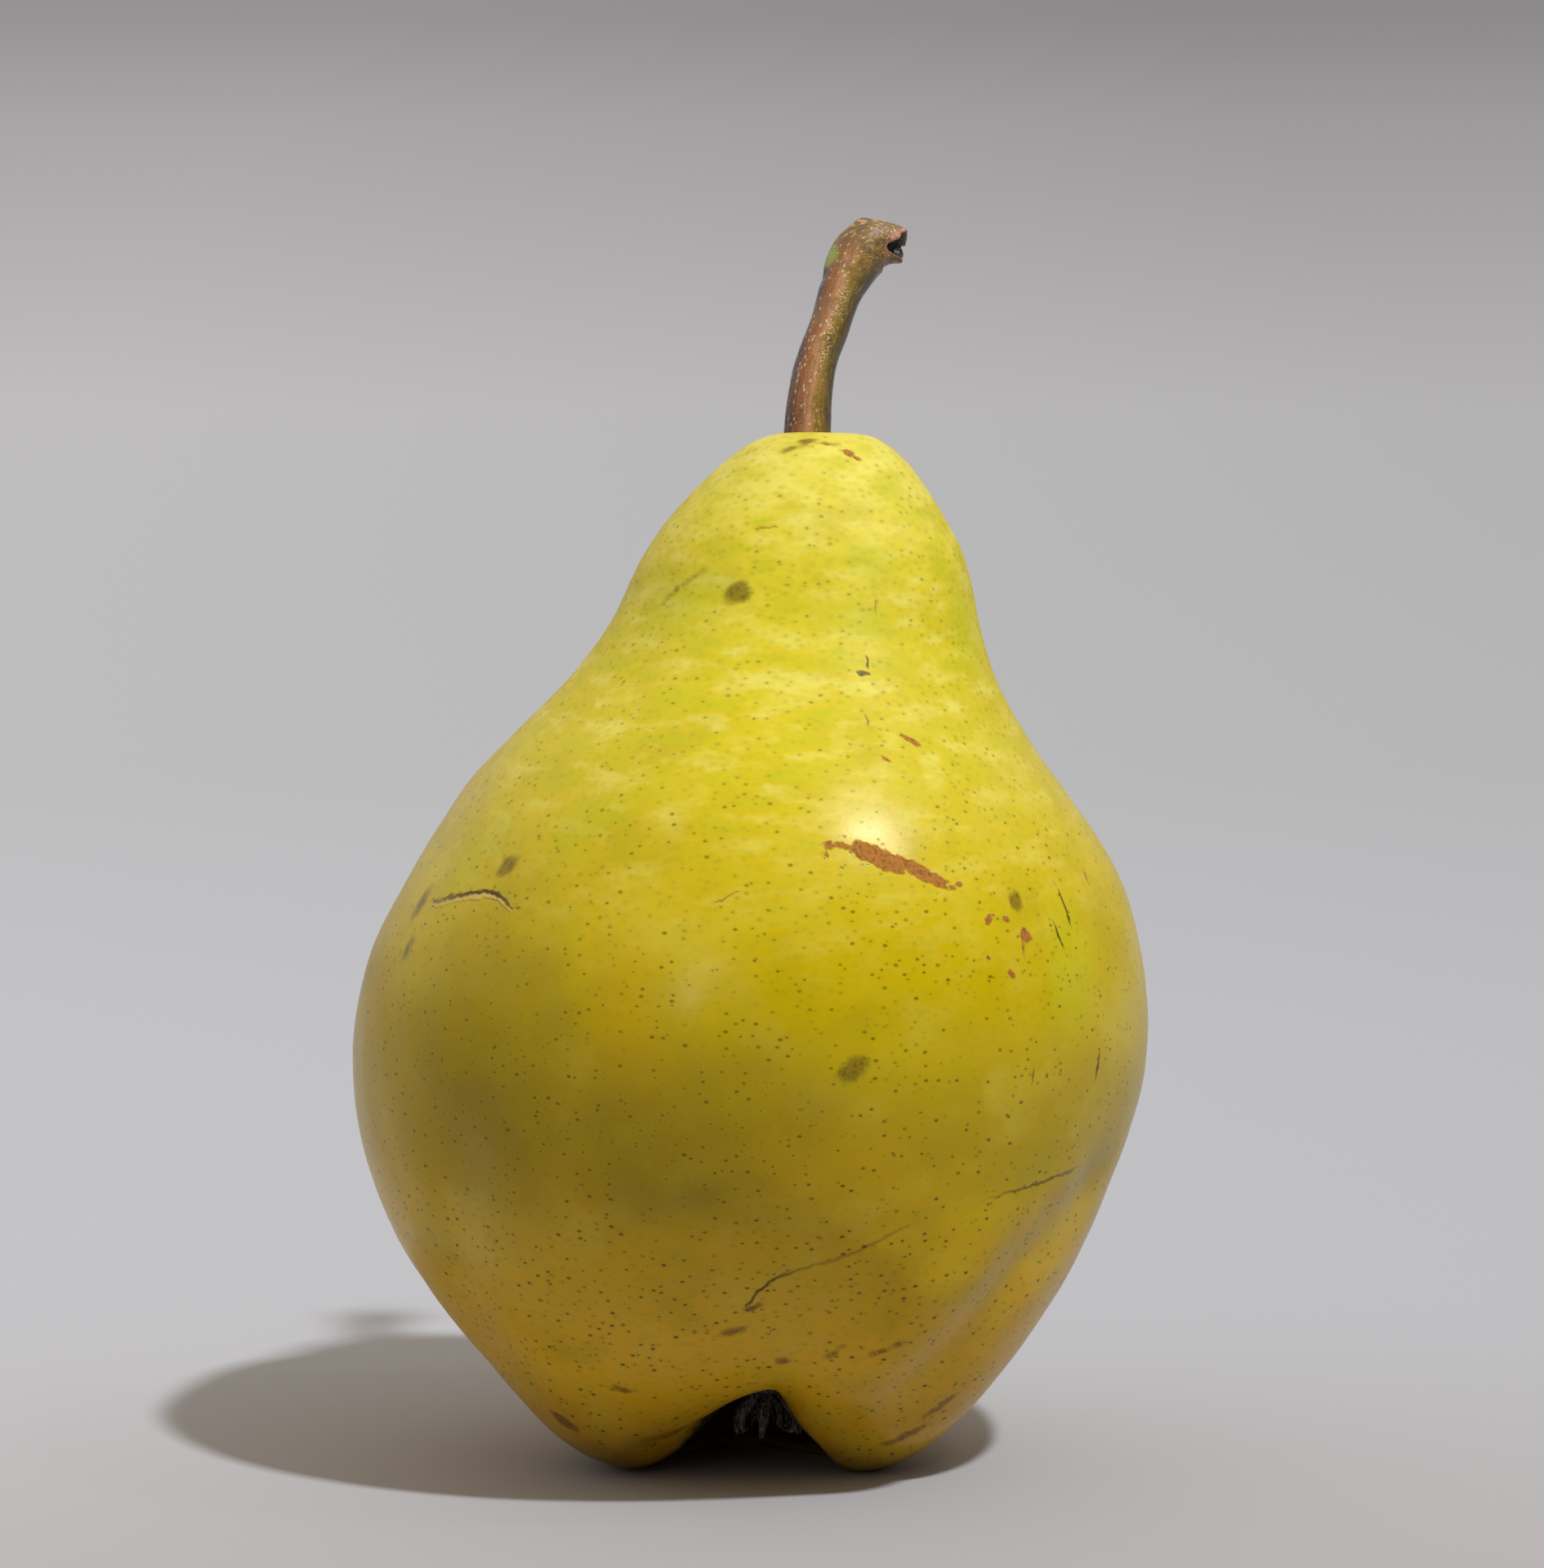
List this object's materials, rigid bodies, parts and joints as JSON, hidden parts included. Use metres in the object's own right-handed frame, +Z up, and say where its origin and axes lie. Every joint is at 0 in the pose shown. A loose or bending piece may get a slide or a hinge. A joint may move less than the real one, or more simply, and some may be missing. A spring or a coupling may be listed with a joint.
{
  "type": "pear",
  "caption": "Ripe yellow-green pear standing on its blossom end, with a woody stem and dried calyx.",
  "frame": {"origin": "on the surface it stands on, under the middle of the fruit's belly", "axes": "+Z up from the resting spots towards the stem, -Y towards the side where the basin opens"},
  "size_m": [0.0786, 0.0792, 0.1214],
  "materials": {
    "waxy_pear_skin": "satin",
    "stem_bark": "satin",
    "dried_sepal": "matte"
  },
  "bodies": {
    "root": {"fruit": "waxy_pear_skin", "stem": "stem_bark", "calyx": "dried_sepal"}
  },
  "joints": []
}
